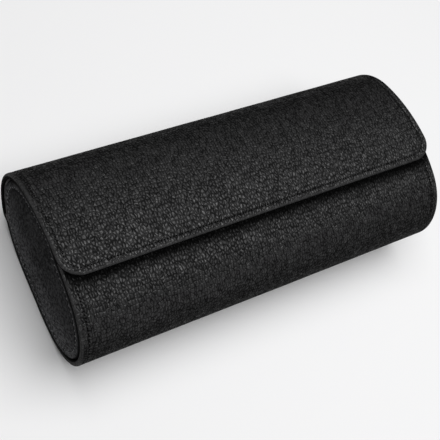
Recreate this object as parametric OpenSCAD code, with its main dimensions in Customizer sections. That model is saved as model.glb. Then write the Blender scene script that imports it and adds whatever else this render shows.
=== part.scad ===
// Travel case for three wristwatches: a leather-covered oval tube with a wrap-over flap.
// It lies on its broad back with its length along X, and its front faces up (+Z).
// The flap hinges low on the far side (+Y) and closes over the middle of the front.
// The origin is the middle of the flat strip that the case rests on. Sizes are millimetres.
// Every oval in the model is the same four arcs, drawn further in for each layer.

/* [Oval] */
// Length of the case over its two rims
case_len = 200; // [180:1:230]
// Width of the oval, from its near end to its far end
case_w = 91; // [86:0.5:98]
// Radius of the oval's two narrow ends
end_r = 29.6; // [27:0.1:34]
// Rise of the front's crown above the tops of the two end arcs
front_rise = 2.6; // [1.2:0.1:6]
// Drop of the back's lowest line below the two end arcs, before it is flattened
back_rise = 1.6; // [1:0.1:4]
// Width of the flat strip that the case rests on
rest_w = 26; // [18:1:34]

/* [Wall] */
// Thickness of the outer leather
leather_t = 1; // [0.8:0.1:1.6]
// Thickness of the wall board
board_t = 1.5; // [1.4:0.1:2.4]
// Thickness of the suede lining
lining_t = 0.6; // [0.5:0.1:1.2]
// Depth of the leather turned in round each rim
turn_in = 6; // [4.5:0.1:12]
// Distance from the middle of the front to the edge of the mouth
mouth_edge = 6; // [3:0.5:8]

/* [Flap] */
// Overhang of the flap past each rim
flap_overhang = 0.9; // [0:0.1:3]
// Radius of the flap's two corners
flap_corner_r = 10.5; // [4:0.5:20]
// Thickness of the flap's leather
flap_leather_t = 1; // [0.7:0.1:1.4]
// Thickness of the flap's board
flap_board_t = 1.2; // [1.1:0.1:1.6]
// Thickness of the flap's lining
flap_lining_t = 0.5; // [0.4:0.1:1]
// Gap between the closed flap and what it covers
flap_gap = 0.4; // [0.3:0.05:0.8]

/* [Hinge] */
// Angle of the hinge line below the oval's middle, on the far end
hinge_angle = 38; // [28:1:46]
// Width of the bare leather strip that folds
hinge_w = 6; // [4:0.5:9]
// Gap between the strip's end and the flap
hinge_gap = 0.3; // [0.3:0.05:0.6]

/* [End panels] */
// Depth of each padded panel inside its rim
end_recess = 0.5; // [0.2:0.1:4.5]
// Thickness of the nubuck over each panel
end_cover_t = 0.8; // [0.5:0.1:1.2]
// Thickness of the foam in each panel
end_foam_t = 4.2; // [1:0.1:6]
// Thickness of each end board
end_board_t = 2; // [1.5:0.1:3]
// Thickness of the lining on each end board
end_lining_t = 0.6; // [0.4:0.1:1]

/* [Dividers] */
// Thickness of a divider's board
divider_board_t = 1.6; // [1:0.1:2.4]
// Thickness of the suede folded over a divider
divider_cover_t = 0.7; // [0.4:0.1:1]
// Depth of a divider's edge below the case's outside, in the mouth
divider_drop = 9; // [7:0.5:16]

/* [Cushions] */
// Thickness of a cushion
cushion_t = 40; // [34:0.5:44]
// Room between a cushion and the near end of the lining
cushion_near_gap = 9.7; // [6:0.1:13]
// Room between a cushion and the far end of the lining
cushion_far_gap = 11.7; // [8:0.1:15]
// Gap between a cushion and the floor of the lining
cushion_seat_gap = 0.4; // [0.3:0.05:1]
// Gap between a cushion and the walls on its two sides
cushion_side_gap = 1.5; // [0.5:0.1:4]
// Radius of a cushion's rounded sides
cushion_edge_r = 9; // [5:0.5:12]
// Thickness of a cushion's suede
cushion_cover_t = 1; // [0.6:0.1:1.5]
// Flat suede left round the disc that closes each side of a cushion
cushion_rim = 1.5; // [0.8:0.1:3]

/* [Closure] */
// Diameter of the magnets and of the steel keepers
magnet_d = 7; // [5:0.5:10]
// Thickness of a magnet
magnet_t = 0.9; // [0.5:0.1:0.9]
// Thickness of a steel keeper
keeper_t = 1; // [0.5:0.1:1.2]
// Wall board left between a keeper and the mouth
keeper_margin = 0.8; // [0.5:0.1:3]
// Flap board left between a magnet and the flap's edge
magnet_margin = 1.5; // [0.8:0.1:4]
// Distance between the two magnets
magnet_spacing = 118; // [80:1:150]

/* [Hidden] */
$fn = 180;

black_leather = "#232325";
grey_board = "#8b8378";
black_nubuck = "#343436";
grey_suede = "#7d7a7c";
pale_foam = "#d9d3c2";
steel = "#a9adb2";

// Far enough to pass right through the case in any direction.
beyond = 2 * case_w;

// The four arcs: two ends about (+-end_c, 0), the front about (0, -front_c), the back about (0, back_c).
end_c = case_w / 2 - end_r;
front_c = arc_offset(front_rise);
front_r = front_c + end_r + front_rise;
back_c = arc_offset(back_rise);
back_r = back_c + end_r + back_rise;
// Height of the oval's middle above the flat strip.
axis_h = sqrt(pow(back_r, 2) - pow(rest_w / 2, 2)) - back_c;

wall_t = leather_t + board_t + lining_t;
flap_t = flap_leather_t + flap_board_t + flap_lining_t;
flap_w = case_len + 2 * flap_overhang;

// The hinge line lies on the outer face of the leather.
hinge_y = end_c + end_r * cos(hinge_angle);
hinge_z = -end_r * sin(hinge_angle);

// The flap is drawn flush with the tube and then turned about the hinge line by flap_lift,
// the angle at which it clears the front wall's edge by flap_gap.
edge_z = arc_height(mouth_edge);
edge_arm = norm([mouth_edge + hinge_y, edge_z - hinge_z]);
centre_arm = norm([hinge_y, hinge_z + front_c]);
flap_lift = corner_angle(front_r) - corner_angle(front_r - flap_t - flap_gap);

// Tilt of the keepers from upright, and of the magnets that meet them when the flap is drawn flush.
keeper_y = mouth_edge + leather_t + keeper_margin + magnet_d / 2;
keeper_tilt = asin(keeper_y / front_r);
keeper_arm = [-keeper_y - hinge_y, arc_height(keeper_y) - hinge_z];
magnet_y = hinge_y + keeper_arm.x * cos(flap_lift) - keeper_arm.y * sin(flap_lift);
magnet_z = hinge_z + keeper_arm.x * sin(flap_lift) + keeper_arm.y * cos(flap_lift);
magnet_tilt = atan2(-magnet_y, magnet_z + front_c);
// Distance from the middle of the front to the flap's edge, when the flap is drawn flush.
flap_reach = -magnet_y + magnet_d / 2 + magnet_margin + flap_leather_t;
// A flat disc under a curved face sits this much lower than the face's crown.
magnet_crown = front_r - sqrt(pow(front_r, 2) - pow(magnet_d / 2, 2));
disc_relief = 0.02;

// Lengths along X: faces of the end panels, the compartments and the cushions.
panel_face = case_len / 2 - end_recess;
foam_face = panel_face - end_cover_t;
end_board_face = foam_face - end_foam_t;
end_lining_face = end_board_face - end_board_t;
inside_half = end_lining_face - end_lining_t;
divider_t = divider_board_t + 2 * divider_cover_t;
room_w = (2 * inside_half - 2 * divider_t) / 3;
room_pitch = room_w + divider_t;
cushion_w = room_w - 2 * cushion_side_gap;

// A cushion's section is a stadium: two half circles about (cushion_near, z) and (cushion_far, z).
cushion_r = cushion_t / 2;
cushion_near = -case_w / 2 + wall_t + cushion_near_gap + cushion_r;
cushion_far = case_w / 2 - wall_t - cushion_far_gap - cushion_r;
cushion_span = cushion_far - cushion_near;
// It stands on the lining's flat or on its curved back, whichever is the higher under its ends.
flat_seat = -axis_h + wall_t + cushion_seat_gap + cushion_r;
curve_seat = back_c - sqrt(pow(back_r - wall_t - cushion_seat_gap - cushion_r, 2)
                           - pow(max(-cushion_near, cushion_far), 2));
cushion_z = max(flat_seat, curve_seat);

// Offset of the centre of an arc that rises so far past the end arcs and runs smoothly into them.
function arc_offset(rise) = (pow(end_c, 2) - pow(rise, 2)) / (2 * rise);
// Height of the front's outside at a distance from its middle.
function arc_height(y) = sqrt(pow(front_r, 2) - pow(y, 2)) - front_c;
// Angle at the hinge line between the mouth's edge and the centre of a front arc of that radius.
function corner_angle(radius) =
    acos((pow(edge_arm, 2) + pow(centre_arm, 2) - pow(radius, 2)) / (2 * edge_arm * centre_arm));

// ---- Outlines across the case: x is the case's Y, y is its Z from the oval's middle ----

// The part of the front's or back's large circle that lies between the two ends.
module bulge_2d(radius, offset, side) {
    spread = 2 * radius / offset;
    intersection() {
        translate([0, -side * offset]) circle(radius);
        polygon([
            [-end_c, 0],
            [end_c, 0],
            [end_c * spread, side * offset * (spread - 1)],
            [-end_c * spread, side * offset * (spread - 1)],
        ]);
    }
}

// The oval, drawn inset from the outside of the leather, with its flat strip.
module oval_2d(inset) {
    difference() {
        union() {
            for (side = [-1, 1]) translate([side * end_c, 0]) circle(end_r - inset);
            bulge_2d(front_r - inset, front_c, 1);
            bulge_2d(back_r - inset, back_c, -1);
        }
        translate([-beyond, -axis_h + inset - beyond]) square([2 * beyond, beyond]);
    }
}

// The sector that the mouth takes, from front_y over the far end to the hinge line.
// A positive retreat moves the hinge end back along the wall.
module mouth_2d(front_y, retreat) {
    foot = [end_c - retreat * sin(hinge_angle), -retreat * cos(hinge_angle)];
    polygon([
        [front_y, beyond],
        [front_y, 0],
        foot,
        foot + 2 * beyond * [cos(hinge_angle), -sin(hinge_angle)],
        [3 * beyond, beyond],
    ]);
}

// A layer of the tube between two insets, ending at the mouth's edge and short of the hinge.
module wall_2d(outer, inner, front_y) {
    difference() {
        oval_2d(outer);
        oval_2d(inner);
        mouth_2d(front_y, hinge_w);
    }
}

// Turns an outline with the flap as it closes.
module lifted_2d() {
    translate([hinge_y, hinge_z]) rotate(-flap_lift) translate([-hinge_y, -hinge_z]) children();
}

// An end panel fills the tube, and under the flap it stands up to the flap's lining.
module panel_2d(inset) {
    oval_2d(wall_t + inset);
    intersection() {
        lifted_2d() oval_2d(flap_t + flap_gap + inset);
        mouth_2d(-mouth_edge + inset, -inset);
    }
}

// A divider fills the tube, and drops below the mouth. Only that free edge is inset.
module divider_2d(inset) {
    difference() {
        oval_2d(wall_t);
        mouth_2d(-mouth_edge - inset, inset);
    }
    oval_2d(divider_drop + inset);
}

// ---- Solids along the case ----

// Extrudes an outline along X between two distances from the case's middle.
module along_x(from, to) {
    translate([from, 0, axis_h]) rotate([90, 0, 90]) linear_extrude(to - from) children();
}

module centred_x(length) {
    along_x(-length / 2, length / 2) children();
}

// Mirrors what is drawn for the right-hand end when the side is -1.
module on_side(side) {
    mirror([side < 0 ? 1 : 0, 0, 0]) children();
}

// Stands a child on the front's curve: x along the case, tilt towards -Y, depth under the outside.
module on_front(x, tilt, depth) {
    translate([x, 0, axis_h - front_c]) rotate([tilt, 0, 0]) translate([0, 0, front_r - depth]) children();
}

// ---- Tube ----

module case_leather() {
    color(black_leather) difference() {
        centred_x(case_len) wall_2d(0, wall_t, -mouth_edge);
        centred_x(case_len - 2 * leather_t) wall_2d(leather_t, wall_t - lining_t, -mouth_edge - leather_t);
        centred_x(case_len - 2 * turn_in) wall_2d(wall_t - lining_t, wall_t + lining_t, -mouth_edge - leather_t);
    }
}

module case_board() {
    color(grey_board) difference() {
        centred_x(case_len - 2 * leather_t) wall_2d(leather_t, wall_t - lining_t, -mouth_edge - leather_t);
        for (side = [-1, 1]) {
            on_front(side * magnet_spacing / 2, keeper_tilt, wall_t) cylinder(d = magnet_d, h = wall_t);
        }
    }
}

module case_lining() {
    color(grey_suede) centred_x(case_len - 2 * turn_in) {
        wall_2d(wall_t - lining_t, wall_t, -mouth_edge - leather_t);
    }
}

// The strip is the outer leather glued to the lining, with no board between them.
module hinge_leather() {
    color(black_leather) centred_x(case_len) intersection() {
        difference() {
            oval_2d(0);
            oval_2d(leather_t + lining_t);
            mouth_2d(-mouth_edge, 0);
        }
        mouth_2d(-mouth_edge, hinge_w);
    }
}

module keeper_plates() {
    color(steel) for (side = [-1, 1]) {
        on_front(side * magnet_spacing / 2, keeper_tilt, leather_t + magnet_crown + disc_relief + keeper_t) {
            cylinder(d = magnet_d, h = keeper_t);
        }
    }
}

// ---- End panels ----

module end_cover(side) {
    color(black_nubuck) on_side(side) difference() {
        along_x(end_board_face, panel_face) panel_2d(0);
        along_x(end_board_face - end_board_t, foam_face) panel_2d(end_cover_t);
    }
}

module end_foam(side) {
    color(pale_foam) on_side(side) along_x(end_board_face, foam_face) panel_2d(end_cover_t);
}

module end_board(side) {
    color(grey_board) on_side(side) along_x(end_lining_face, end_board_face) panel_2d(0);
}

module end_lining(side) {
    color(grey_suede) on_side(side) along_x(inside_half, end_lining_face) panel_2d(0);
}

// ---- Dividers ----

module divider_cover(side) {
    color(grey_suede) on_side(side) translate([room_pitch / 2, 0, 0]) difference() {
        centred_x(divider_t) divider_2d(0);
        centred_x(divider_board_t) divider_2d(divider_cover_t);
    }
}

module divider_board(side) {
    color(grey_board) on_side(side) translate([room_pitch / 2, 0, 0]) {
        centred_x(divider_board_t) divider_2d(divider_cover_t);
    }
}

// ---- Flap ----

// The flap's outline from above, inset from its edge: a rounded front and square ends at the hinge.
module flap_plan(inset) {
    half_w = flap_w / 2;
    front = -flap_reach;
    translate([-half_w + flap_corner_r, front + inset]) square([2 * (half_w - flap_corner_r), beyond]);
    translate([-half_w + inset, front + flap_corner_r]) square([2 * (half_w - inset), beyond]);
    for (side = [-1, 1]) {
        translate([side * (half_w - flap_corner_r), front + flap_corner_r]) circle(flap_corner_r - inset);
    }
}

// A layer of the flap between two depths, inset from the flap's edge all round.
module flap_layer(outer, inner, inset) {
    intersection() {
        centred_x(flap_w) intersection() {
            difference() {
                oval_2d(outer);
                oval_2d(inner);
            }
            mouth_2d(-beyond, -hinge_gap - inset);
        }
        linear_extrude(beyond) flap_plan(inset);
    }
}

module lifted() {
    translate([0, hinge_y, axis_h + hinge_z]) rotate([-flap_lift, 0, 0]) {
        translate([0, -hinge_y, -axis_h - hinge_z]) children();
    }
}

// The leather is turned over the board's edge and ends flush with the lining.
module flap_leather() {
    color(black_leather) lifted() difference() {
        flap_layer(0, flap_t, 0);
        flap_layer(flap_leather_t, flap_t + flap_lining_t, flap_leather_t);
    }
}

module flap_board() {
    color(grey_board) lifted() difference() {
        flap_layer(flap_leather_t, flap_t - flap_lining_t, flap_leather_t);
        for (side = [-1, 1]) {
            on_front(side * magnet_spacing / 2, magnet_tilt, flap_t) cylinder(d = magnet_d, h = flap_t);
        }
    }
}

module flap_lining() {
    color(grey_suede) lifted() flap_layer(flap_t - flap_lining_t, flap_t, flap_leather_t);
}

module flap_magnets() {
    color(steel) lifted() for (side = [-1, 1]) {
        on_front(side * magnet_spacing / 2, magnet_tilt, flap_leather_t + magnet_crown + disc_relief + magnet_t) {
            cylinder(d = magnet_d, h = magnet_t);
        }
    }
}

// ---- Cushions ----

// Half of a cushion's profile: the radius along x, the case's X along y.
module cushion_profile(inset) {
    core_r = cushion_r - cushion_edge_r;
    core_w = cushion_w - 2 * cushion_edge_r;
    translate([0, -cushion_w / 2 + inset]) square([core_r, cushion_w - 2 * inset]);
    translate([0, -core_w / 2]) square([cushion_r - inset, core_w]);
    for (side = [-1, 1]) translate([core_r, side * core_w / 2]) circle(cushion_edge_r - inset);
}

// The whole pad: a turned half at each end and a straight stretch between them.
module cushion_solid(inset) {
    for (y = [0, cushion_span]) {
        translate([0, y, 0]) rotate([0, 90, 0]) rotate_extrude() intersection() {
            cushion_profile(inset);
            translate([0, -cushion_w]) square([beyond, 2 * cushion_w]);
        }
    }
    rotate([-90, 0, 0]) linear_extrude(cushion_span) {
        for (side = [0, 1]) mirror([0, side]) rotate(-90) cushion_profile(inset);
    }
}

// The oval disc that closes each side, between two distances from the cushion's middle.
module cushion_side(from, to) {
    flat_r = cushion_r - cushion_edge_r - cushion_rim;
    translate([from, 0, 0]) rotate([90, 0, 90]) linear_extrude(to - from) {
        for (y = [0, cushion_span]) translate([y, 0]) circle(flat_r);
        translate([0, -flat_r]) square([cushion_span, 2 * flat_r]);
    }
}

module in_room(place) {
    translate([place * room_pitch, cushion_near, axis_h + cushion_z]) children();
}

module cushion_cover(place) {
    color(grey_suede) in_room(place) difference() {
        cushion_solid(0);
        cushion_solid(cushion_cover_t);
        cushion_side(-cushion_w, cushion_w);
    }
}

module cushion_foam(place) {
    color(pale_foam) in_room(place) cushion_solid(cushion_cover_t);
}

module cushion_ends(place) {
    color(grey_suede) in_room(place) for (side = [-1, 1]) on_side(side) {
        cushion_side(cushion_w / 2 - cushion_cover_t, cushion_w / 2);
    }
}

case_leather();
case_board();
case_lining();
hinge_leather();
end_cover(-1);  // left_end_cover
end_foam(-1);  // left_end_foam
end_board(-1);  // left_end_board
end_lining(-1);  // left_end_lining
end_cover(1);  // right_end_cover
end_foam(1);  // right_end_foam
end_board(1);  // right_end_board
end_lining(1);  // right_end_lining
divider_cover(-1);  // left_divider_cover
divider_board(-1);  // left_divider_board
divider_cover(1);  // right_divider_cover
divider_board(1);  // right_divider_board
keeper_plates();
flap_leather();
flap_board();
flap_lining();
flap_magnets();
cushion_cover(-1);  // left_cushion_cover
cushion_foam(-1);  // left_cushion_foam
cushion_ends(-1);  // left_cushion_ends
cushion_cover(0);  // middle_cushion_cover
cushion_foam(0);  // middle_cushion_foam
cushion_ends(0);  // middle_cushion_ends
cushion_cover(1);  // right_cushion_cover
cushion_foam(1);  // right_cushion_foam
cushion_ends(1);  // right_cushion_ends
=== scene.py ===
import math

import bmesh
import bpy
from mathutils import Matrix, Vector, noise
from mathutils.bvhtree import BVHTree


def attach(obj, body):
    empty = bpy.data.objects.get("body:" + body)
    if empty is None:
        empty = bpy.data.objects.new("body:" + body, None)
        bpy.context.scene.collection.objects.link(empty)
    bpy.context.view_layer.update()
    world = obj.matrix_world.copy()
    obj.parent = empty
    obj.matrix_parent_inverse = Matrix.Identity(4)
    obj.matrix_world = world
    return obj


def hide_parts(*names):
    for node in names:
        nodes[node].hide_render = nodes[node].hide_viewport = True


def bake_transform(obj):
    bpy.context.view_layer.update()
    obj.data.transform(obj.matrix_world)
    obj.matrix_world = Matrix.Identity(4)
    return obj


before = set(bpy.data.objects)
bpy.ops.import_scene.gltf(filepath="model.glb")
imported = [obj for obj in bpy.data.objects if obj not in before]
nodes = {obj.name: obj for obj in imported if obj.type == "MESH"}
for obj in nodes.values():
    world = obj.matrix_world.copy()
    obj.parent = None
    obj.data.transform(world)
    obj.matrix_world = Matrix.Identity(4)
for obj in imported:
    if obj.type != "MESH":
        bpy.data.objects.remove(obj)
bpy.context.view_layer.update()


# ---- Wall board, end boards, divider boards and flap board ----
# Greyboard, steamed and pressed to the oval, stiffens every wall between its leather and its suede.
# It is pulped paper in thin plies, so its cut edges show fine lines and its faces a faint mottle.
# The end boards are dyed black, because their edges lie in the mouth when the flap is open.

class Field:
    """A socket of a finish's node tree. Arithmetic on it adds the Math nodes."""

    def __init__(self, tree, socket=None):
        self.tree = tree
        self.socket = socket

    def node(self, kind, settings, inputs, output=0):
        """A new node: its settings first, then its sockets. Gives back one of its outputs."""
        made = self.tree.nodes.new(kind)
        for name, value in settings.items():
            setattr(made, name, value)
        for name, value in inputs.items():
            if isinstance(value, Field):
                self.tree.links.new(value.socket, made.inputs[name])
            else:
                made.inputs[name].default_value = value
        return Field(self.tree, made.outputs[output])

    def maths(self, operation, first, second):
        return self.node("ShaderNodeMath", {"operation": operation}, {0: first, 1: second})

    def __add__(self, other):
        return self.maths("ADD", self, other)

    __radd__ = __add__

    def __sub__(self, other):
        return self.maths("SUBTRACT", self, other)

    def __rsub__(self, other):
        return self.maths("SUBTRACT", other, self)

    def __mul__(self, other):
        return self.maths("MULTIPLY", self, other)

    __rmul__ = __mul__

    def scaled(self, size):
        """The place divided by a cell's size along each axis, both in metres."""
        per_cell = tuple(1 / length for length in size)
        return self.node("ShaderNodeVectorMath", {"operation": "MULTIPLY"}, {0: self, 1: per_cell})

    def speckle(self, size, detail=2.0):
        """Smooth noise from 0 to 1 whose blots have that size along each axis."""
        sockets = {"Vector": self.scaled(size), "Scale": 1.0, "Detail": detail}
        return self.node("ShaderNodeTexNoise", {}, sockets, "Fac")

    def ease(self, low, high):
        """0 below low, 1 above high and smooth between."""
        sockets = {"Value": self, "From Min": low, "From Max": high}
        return self.node("ShaderNodeMapRange", {"interpolation_type": "SMOOTHSTEP"}, sockets)

    def tint(self, dark, light):
        """The colour that runs from dark at 0 to light at 1."""
        sockets = {0: self, 6: (*dark, 1), 7: (*light, 1)}
        return self.node("ShaderNodeMix", {"data_type": "RGBA"}, sockets, 2)

    def relief(self, depth):
        """The normal of a surface that this height raises by up to depth, in metres."""
        return self.node("ShaderNodeBump", {}, {"Height": self, "Distance": depth}, "Normal")


def new_finish(name, **constants):
    """A material, its Principled shader with those constant sockets set, and the place on the object."""
    material = bpy.data.materials.new(name)
    material.use_nodes = True
    shader = material.node_tree.nodes["Principled BSDF"]
    for socket, value in constants.items():
        shader.inputs[socket.replace("_", " ")].default_value = value
    place = Field(material.node_tree).node("ShaderNodeTexCoord", {}, {}, "Object")
    return material, shader, place


def feed(shader, **fields):
    """Links what changes over the surface to the shader's sockets."""
    for socket, field in fields.items():
        field.tree.links.new(field.socket, shader.inputs[socket.replace("_", " ")])


def dress(material, *names):
    """Gives CAD nodes their finish."""
    for name in names:
        nodes[name].data.materials.clear()
        nodes[name].data.materials.append(material)


MOTTLE = (0.0035, 0.0035, 0.0035)
PULP_FIBRE = (0.0024, 0.00022, 0.00022)
BOARDS = (
    ("grey_board", (0.185, 0.165, 0.138), (0.315, 0.288, 0.25), ("case", "flap")),
    ("thin_grey_board", (0.2, 0.178, 0.15), (0.33, 0.3, 0.26), ("left_divider", "right_divider")),
    ("black_board", (0.008, 0.008, 0.008), (0.026, 0.025, 0.025), ("left_end", "right_end")),
)

for name, dark, light, walls in BOARDS:
    board, shader, place = new_finish(name, Specular_IOR_Level=0.25)
    mottle = place.speckle(MOTTLE, 4.0)
    fibre = place.speckle(PULP_FIBRE, 3.0)
    pulp = mottle * 0.55 + fibre * 0.45
    feed(
        shader,
        Base_Color=pulp.ease(0.3, 0.7).tint(dark, light),
        Roughness=fibre * 0.2 + 0.72,
        Normal=pulp.relief(0.00012),
    )
    dress(board, *[wall + "_board" for wall in walls])


# ---- Tube leather ----
# One hide of black pebbled calf is glued round the board from the mouth's edge to the fold.
# It is turned in over both rims and over the mouth's edge, and sewn down close to the rims.
# The tube's section is four arcs that run smoothly into each other, with a flat strip to rest on.

MM = 0.001
CASE_HALF = 100.0
CASE_W = 91.0
END_R = 29.6
FRONT_RISE = 2.6
BACK_RISE = 1.6
REST_HALF = 13.0
LEATHER_T = 1.0
BOARD_T = 1.5
LINING_T = 0.6
WALL_T = LEATHER_T + BOARD_T + LINING_T
MOUTH_EDGE = 6.0
TURN_IN = 6.0
HINGE_DROP = math.radians(38)
HINGE_W = 6.0

END_C = CASE_W / 2 - END_R
FRONT_C = (END_C ** 2 - FRONT_RISE ** 2) / (2 * FRONT_RISE)
FRONT_R = FRONT_C + END_R + FRONT_RISE
BACK_C = (END_C ** 2 - BACK_RISE ** 2) / (2 * BACK_RISE)
BACK_R = BACK_C + END_R + BACK_RISE
AXIS_H = math.sqrt(BACK_R ** 2 - REST_HALF ** 2) - BACK_C
# Angles from upright at which the front meets an end, an end meets the back, and the back goes flat.
FRONT_TURN = math.atan2(END_C, FRONT_C)
END_TURN = math.pi - math.atan2(END_C, BACK_C)
FLAT_TURN = math.pi - math.asin(REST_HALF / BACK_R)
# Distances round the outside, from the middle of the front, at which each arc ends.
FRONT_END = FRONT_R * FRONT_TURN
SIDE_END = FRONT_END + END_R * (END_TURN - FRONT_TURN)
BACK_END = SIDE_END + BACK_R * (FLAT_TURN - END_TURN)
HALF_GIRTH = BACK_END + REST_HALF


def on_oval(along, depth):
    """Y and Z at a distance round the outside from the front's middle, towards +Y, and that deep."""
    side = 1
    if along < 0:
        along, side = -along, -side
    if along > HALF_GIRTH:
        along, side = 2 * HALF_GIRTH - along, -side
    if along < FRONT_END:
        turn, radius, centre = along / FRONT_R, FRONT_R, (0, -FRONT_C)
    elif along < SIDE_END:
        turn, radius, centre = FRONT_TURN + (along - FRONT_END) / END_R, END_R, (END_C, 0)
    elif along < BACK_END:
        turn, radius, centre = END_TURN + (along - SIDE_END) / BACK_R, BACK_R, (0, BACK_C)
    else:
        return side * (HALF_GIRTH - along), depth
    y = centre[0] + (radius - depth) * math.sin(turn)
    z = centre[1] + (radius - depth) * math.cos(turn)
    return side * y, z + AXIS_H


def steps(start, end, size):
    """Evenly spaced numbers from start to end, about that size apart."""
    count = max(1, round(abs(end - start) / size))
    return [start + (end - start) * index / count for index in range(count + 1)]


def new_piece(name, points, faces, materials, crease=35, flat=None, grain=None, painted_shade=None, kinds=None):
    """A smooth mesh from points in millimetres, sharp where it turns by more than crease degrees."""
    mesh = bpy.data.meshes.new(name)
    mesh.from_pydata([[length * MM for length in point] for point in points], [], faces)
    for material in materials:
        mesh.materials.append(material)
    if flat:
        place = [length * MM for x, v in flat for length in (x, v, 0)]
        mesh.attributes.new("flat", "FLOAT_VECTOR", "POINT").data.foreach_set("vector", place)
    # grain says how strongly the pebbles stand; the other attribute says how much painted shade each point
    # takes.
    for attribute, values in (("grain", grain), ("painted_shade", painted_shade)):
        if values:
            mesh.attributes.new(attribute, "FLOAT", "POINT").data.foreach_set("value", values)
    if kinds:
        mesh.polygons.foreach_set("material_index", kinds)
    shape = bmesh.new()
    shape.from_mesh(mesh)
    bmesh.ops.remove_doubles(shape, verts=shape.verts, dist=0.002 * MM)
    bmesh.ops.recalc_face_normals(shape, faces=shape.faces)
    for face in shape.faces:
        face.smooth = True
    for edge in shape.edges:
        if len(edge.link_faces) == 2:
            edge.smooth = edge.calc_face_angle(0) < math.radians(crease)
    shape.to_mesh(mesh)
    shape.free()
    made = bpy.data.objects.new(name, mesh)
    bpy.context.scene.collection.objects.link(made)
    return made


def grid_faces(first, rows, wide):
    """The faces of a grid of points, row by row from the point called first."""
    corners = [first + row * wide + column for row in range(rows - 1) for column in range(wide - 1)]
    return [(at, at + 1, at + wide + 1, at + wide) for at in corners]


def band(outer, inner, closed=False):
    """The faces between two rows of points."""
    after = [*range(1, len(outer)), 0] if closed else range(1, len(outer))
    return [(outer[k], outer[n], inner[n], inner[k]) for k, n in enumerate(after)]


# How strongly the pebbles stand, and how much painted shade their creases take, on the rolled edge, on the
# turned edge and inside.
ROLL_GRAIN, TURNED_GRAIN, INNER_GRAIN = 0.6, 0.5, 0.35


class Hide:
    """A sheet of leather in its own flat measure, with two rounded corners at its front edge.

    x runs along the case, v from the front edge to the butt, and put(x, v, depth) gives a point.
    """

    def __init__(self, half_w, length, corner, roll, put):
        self.half_w = half_w
        self.length = length
        self.corner = corner
        self.roll = roll
        self.put = put

    def bend(self, x, v):
        """Fits a point of the grid to the corners: x, v, its inset and the way in from the edge."""
        side = math.copysign(1, x)
        reach = self.corner - self.roll
        across = (abs(x) - self.half_w + self.corner) / reach
        ahead = (self.corner - v) / reach
        if across <= 0 or ahead <= 0:
            to_side = self.half_w - abs(x)
            return x, v, min(to_side, v), ((-side, 0) if to_side < v else (0, 1))
        far = max(across, ahead)
        turn = math.pi / 4 * min(across, ahead) / far
        if ahead > across:
            turn = math.pi / 2 - turn
        x = side * (self.half_w - self.corner + reach * far * math.cos(turn))
        v = self.corner - reach * far * math.sin(turn)
        return x, v, self.corner - reach * far, (-side * math.cos(turn), math.sin(turn))

    def seam(self, inset, start, pitch=0.3):
        """Points of a line that keeps that inset from the edge, between two points near the butt."""
        x, radius = self.half_w - inset, self.corner - inset
        straight = [(x, v) for v in steps(self.length - start, self.corner, pitch)]
        middle = self.half_w - self.corner
        quarter = steps(0, math.pi / 2, pitch / radius)[1:]
        bow = [(middle + radius * math.cos(t), self.corner - radius * math.sin(t)) for t in quarter]
        right = straight + bow
        front = [(along, inset) for along in steps(middle, -middle, pitch)[1:-1]]
        return right + front + [(-along, v) for along, v in reversed(right)]

    def build(self, name, stops, step, surface, shade_at, turned, inside, materials):
        """The closed sheet. turned lists its edge's side inset, front inset, depth and share of painted
        shade.
        """
        half, roll = self.half_w, self.roll
        border = [roll + stop for stop in stops]
        left = [inset - half for inset in border]
        columns = left + steps(left[-1], -left[-1], step)[1:-1] + [-x for x in reversed(left)]
        rows = border + steps(border[-1], self.length, step / 2)[1:]
        points, flat, grain, painted_shade = [], [], [], []
        grid = [[self.bend(x, v) for x in columns] for v in rows]
        for line in grid:
            for x, v, inset, way in line:
                points.append(self.put(x, v, surface(x, v, inset)))
                flat.append((x, v))
                past_roll = min(1, max(0, (inset - roll + 0.35) / 0.9))
                grain.append(ROLL_GRAIN + (1 - ROLL_GRAIN) * past_roll)
                painted_shade.append(shade_at(x, v, inset))
        wide = len(columns)
        edge = [(row, 0) for row in range(len(rows) - 1, 0, -1)]
        edge += [(0, column) for column in range(wide)]
        edge += [(row, wide - 1) for row in range(1, len(rows))]
        loops = [[row * wide + column for row, column in edge]]
        for side_inset, front_inset, depth, shade_share in turned:
            loops.append([])
            for row, column in edge:
                x, v, inset, way = grid[row][column]
                shift = side_inset + (front_inset - side_inset) * way[1] ** 2 - inset
                loops[-1].append(len(points))
                points.append(self.put(x + shift * way[0], v + shift * way[1], depth))
                flat.append((x - depth * way[0], v - depth * way[1]))
                grain.append(TURNED_GRAIN)
                painted_shade.append(shade_share)
        under = len(points)
        for line in grid:
            for x, v, inset, way in line:
                points.append(self.put(x, v, inside))
                flat.append((x, v))
                grain.append(INNER_GRAIN)
                painted_shade.append(0.0)
        loops.append([under + row * wide + column for row, column in edge])
        faces = grid_faces(0, len(rows), wide) + grid_faces(under, len(rows), wide)
        for outer, inner in zip(loops, loops[1:]):
            faces += band(outer, inner)
        top = [(len(rows) - 1) * wide + column for column in range(wide)]
        right_ends = [loop[-1] for loop in loops[1:-1]]
        left_ends = [loop[0] for loop in loops[1:-1]]
        low = [under + index for index in top]
        faces.append(top + right_ends + low[::-1] + left_ends[::-1])
        return new_piece(name, points, faces, materials, flat=flat, grain=grain, painted_shade=painted_shade)


def rolled(radius, inset, depth):
    """The section of an edge rounded to that radius, from the face to the side, in four steps."""
    turns = [math.radians(angle) for angle in (22, 45, 68, 90)]
    return [(radius * (1 - math.sin(t)) + inset, depth + radius * (1 - math.cos(t))) for t in turns]


def both_ways(section, shade_share=0.0):
    """A section that is the same at the sides and at the front, with one share of painted shade."""
    return [(inset, inset, depth, shade_share) for inset, depth in section]


def lay_over(share, under, over):
    """Makes the finish's surface run from one shader at 0 to the other at 1."""
    whole = share.node("ShaderNodeMixShader", {}, {0: share, 1: under, 2: over}, "Shader")
    share.tree.links.new(whole.socket, share.tree.nodes["Material Output"].inputs["Surface"])


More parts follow.
